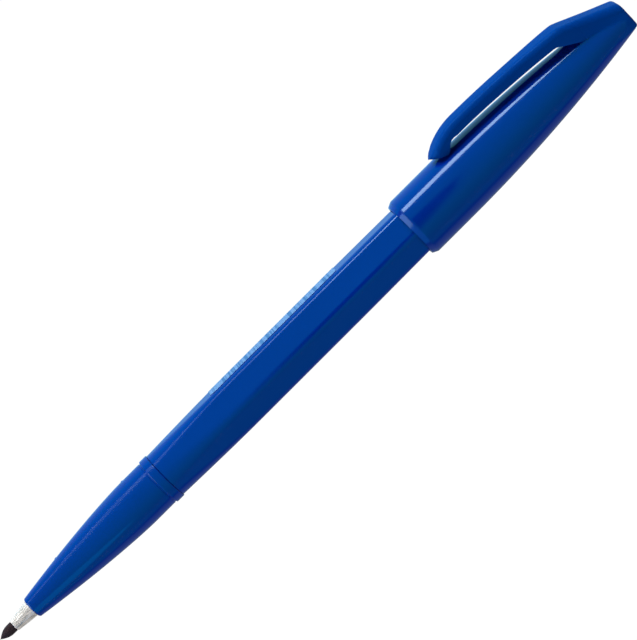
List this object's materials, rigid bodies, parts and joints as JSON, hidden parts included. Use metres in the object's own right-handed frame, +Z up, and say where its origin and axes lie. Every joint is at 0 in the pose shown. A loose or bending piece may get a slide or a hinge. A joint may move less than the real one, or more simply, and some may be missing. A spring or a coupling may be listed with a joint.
{
  "type": "calligraphy marker",
  "caption": "Fibre-tip calligraphy marker lying on its side, with a softly faceted barrel, a tapered grip and a round cap with a sprung pocket clip pushed onto its tail.",
  "frame": {"origin": "the writing point of the nib, on the pen's axis", "axes": "+X runs along the pen's axis from the writing point to the closed end of the cap; the pen lies on its side with +Z up, and the clip leans 62 degrees from +Z towards +Y"},
  "size_m": [0.1503, 0.0154, 0.0121],
  "materials": {
    "blue_plastic": "gloss moulded plastic, mid blue",
    "label": "thin gloss film with pale blue print",
    "natural_plastic": "milky translucent plastic",
    "nib_fibre": "bonded fibre, black with ink",
    "reservoir_fibre": "ink-soaked fibre bundle",
    "clear_film": "thin clear film"
  },
  "bodies": {
    "pen": {"barrel": "blue_plastic", "label_film": "label", "tail_plug": "blue_plastic", "grip_section": "blue_plastic", "nib_holder": "natural_plastic", "nib": "nib_fibre", "ink_reservoir": "reservoir_fibre", "reservoir_film": "clear_film"},
    "inner_cap": {"inner_cap": "natural_plastic"},
    "cap": {"cap_shell": "blue_plastic"},
    "clip": {"clip": "blue_plastic"}
  },
  "joints": [
    {"name": "cap_pull", "type": "slide", "parent": "pen", "child": "inner_cap", "axis": [1, 0, 0], "range_m": [0, 0.035]},
    {"name": "cap_turn", "type": "hinge", "parent": "inner_cap", "child": "cap", "pos_m": [0.12, 0, 0], "axis": [1, 0, 0], "continuous": true},
    {"name": "clip_flex", "type": "hinge", "parent": "cap", "child": "clip", "pos_m": [0.139, 0.0064, 0.0034], "axis": [0, 0.4695, -0.8829], "range_deg": [0, 4], "stiffness_Nm_per_rad": 0.4}
  ]
}
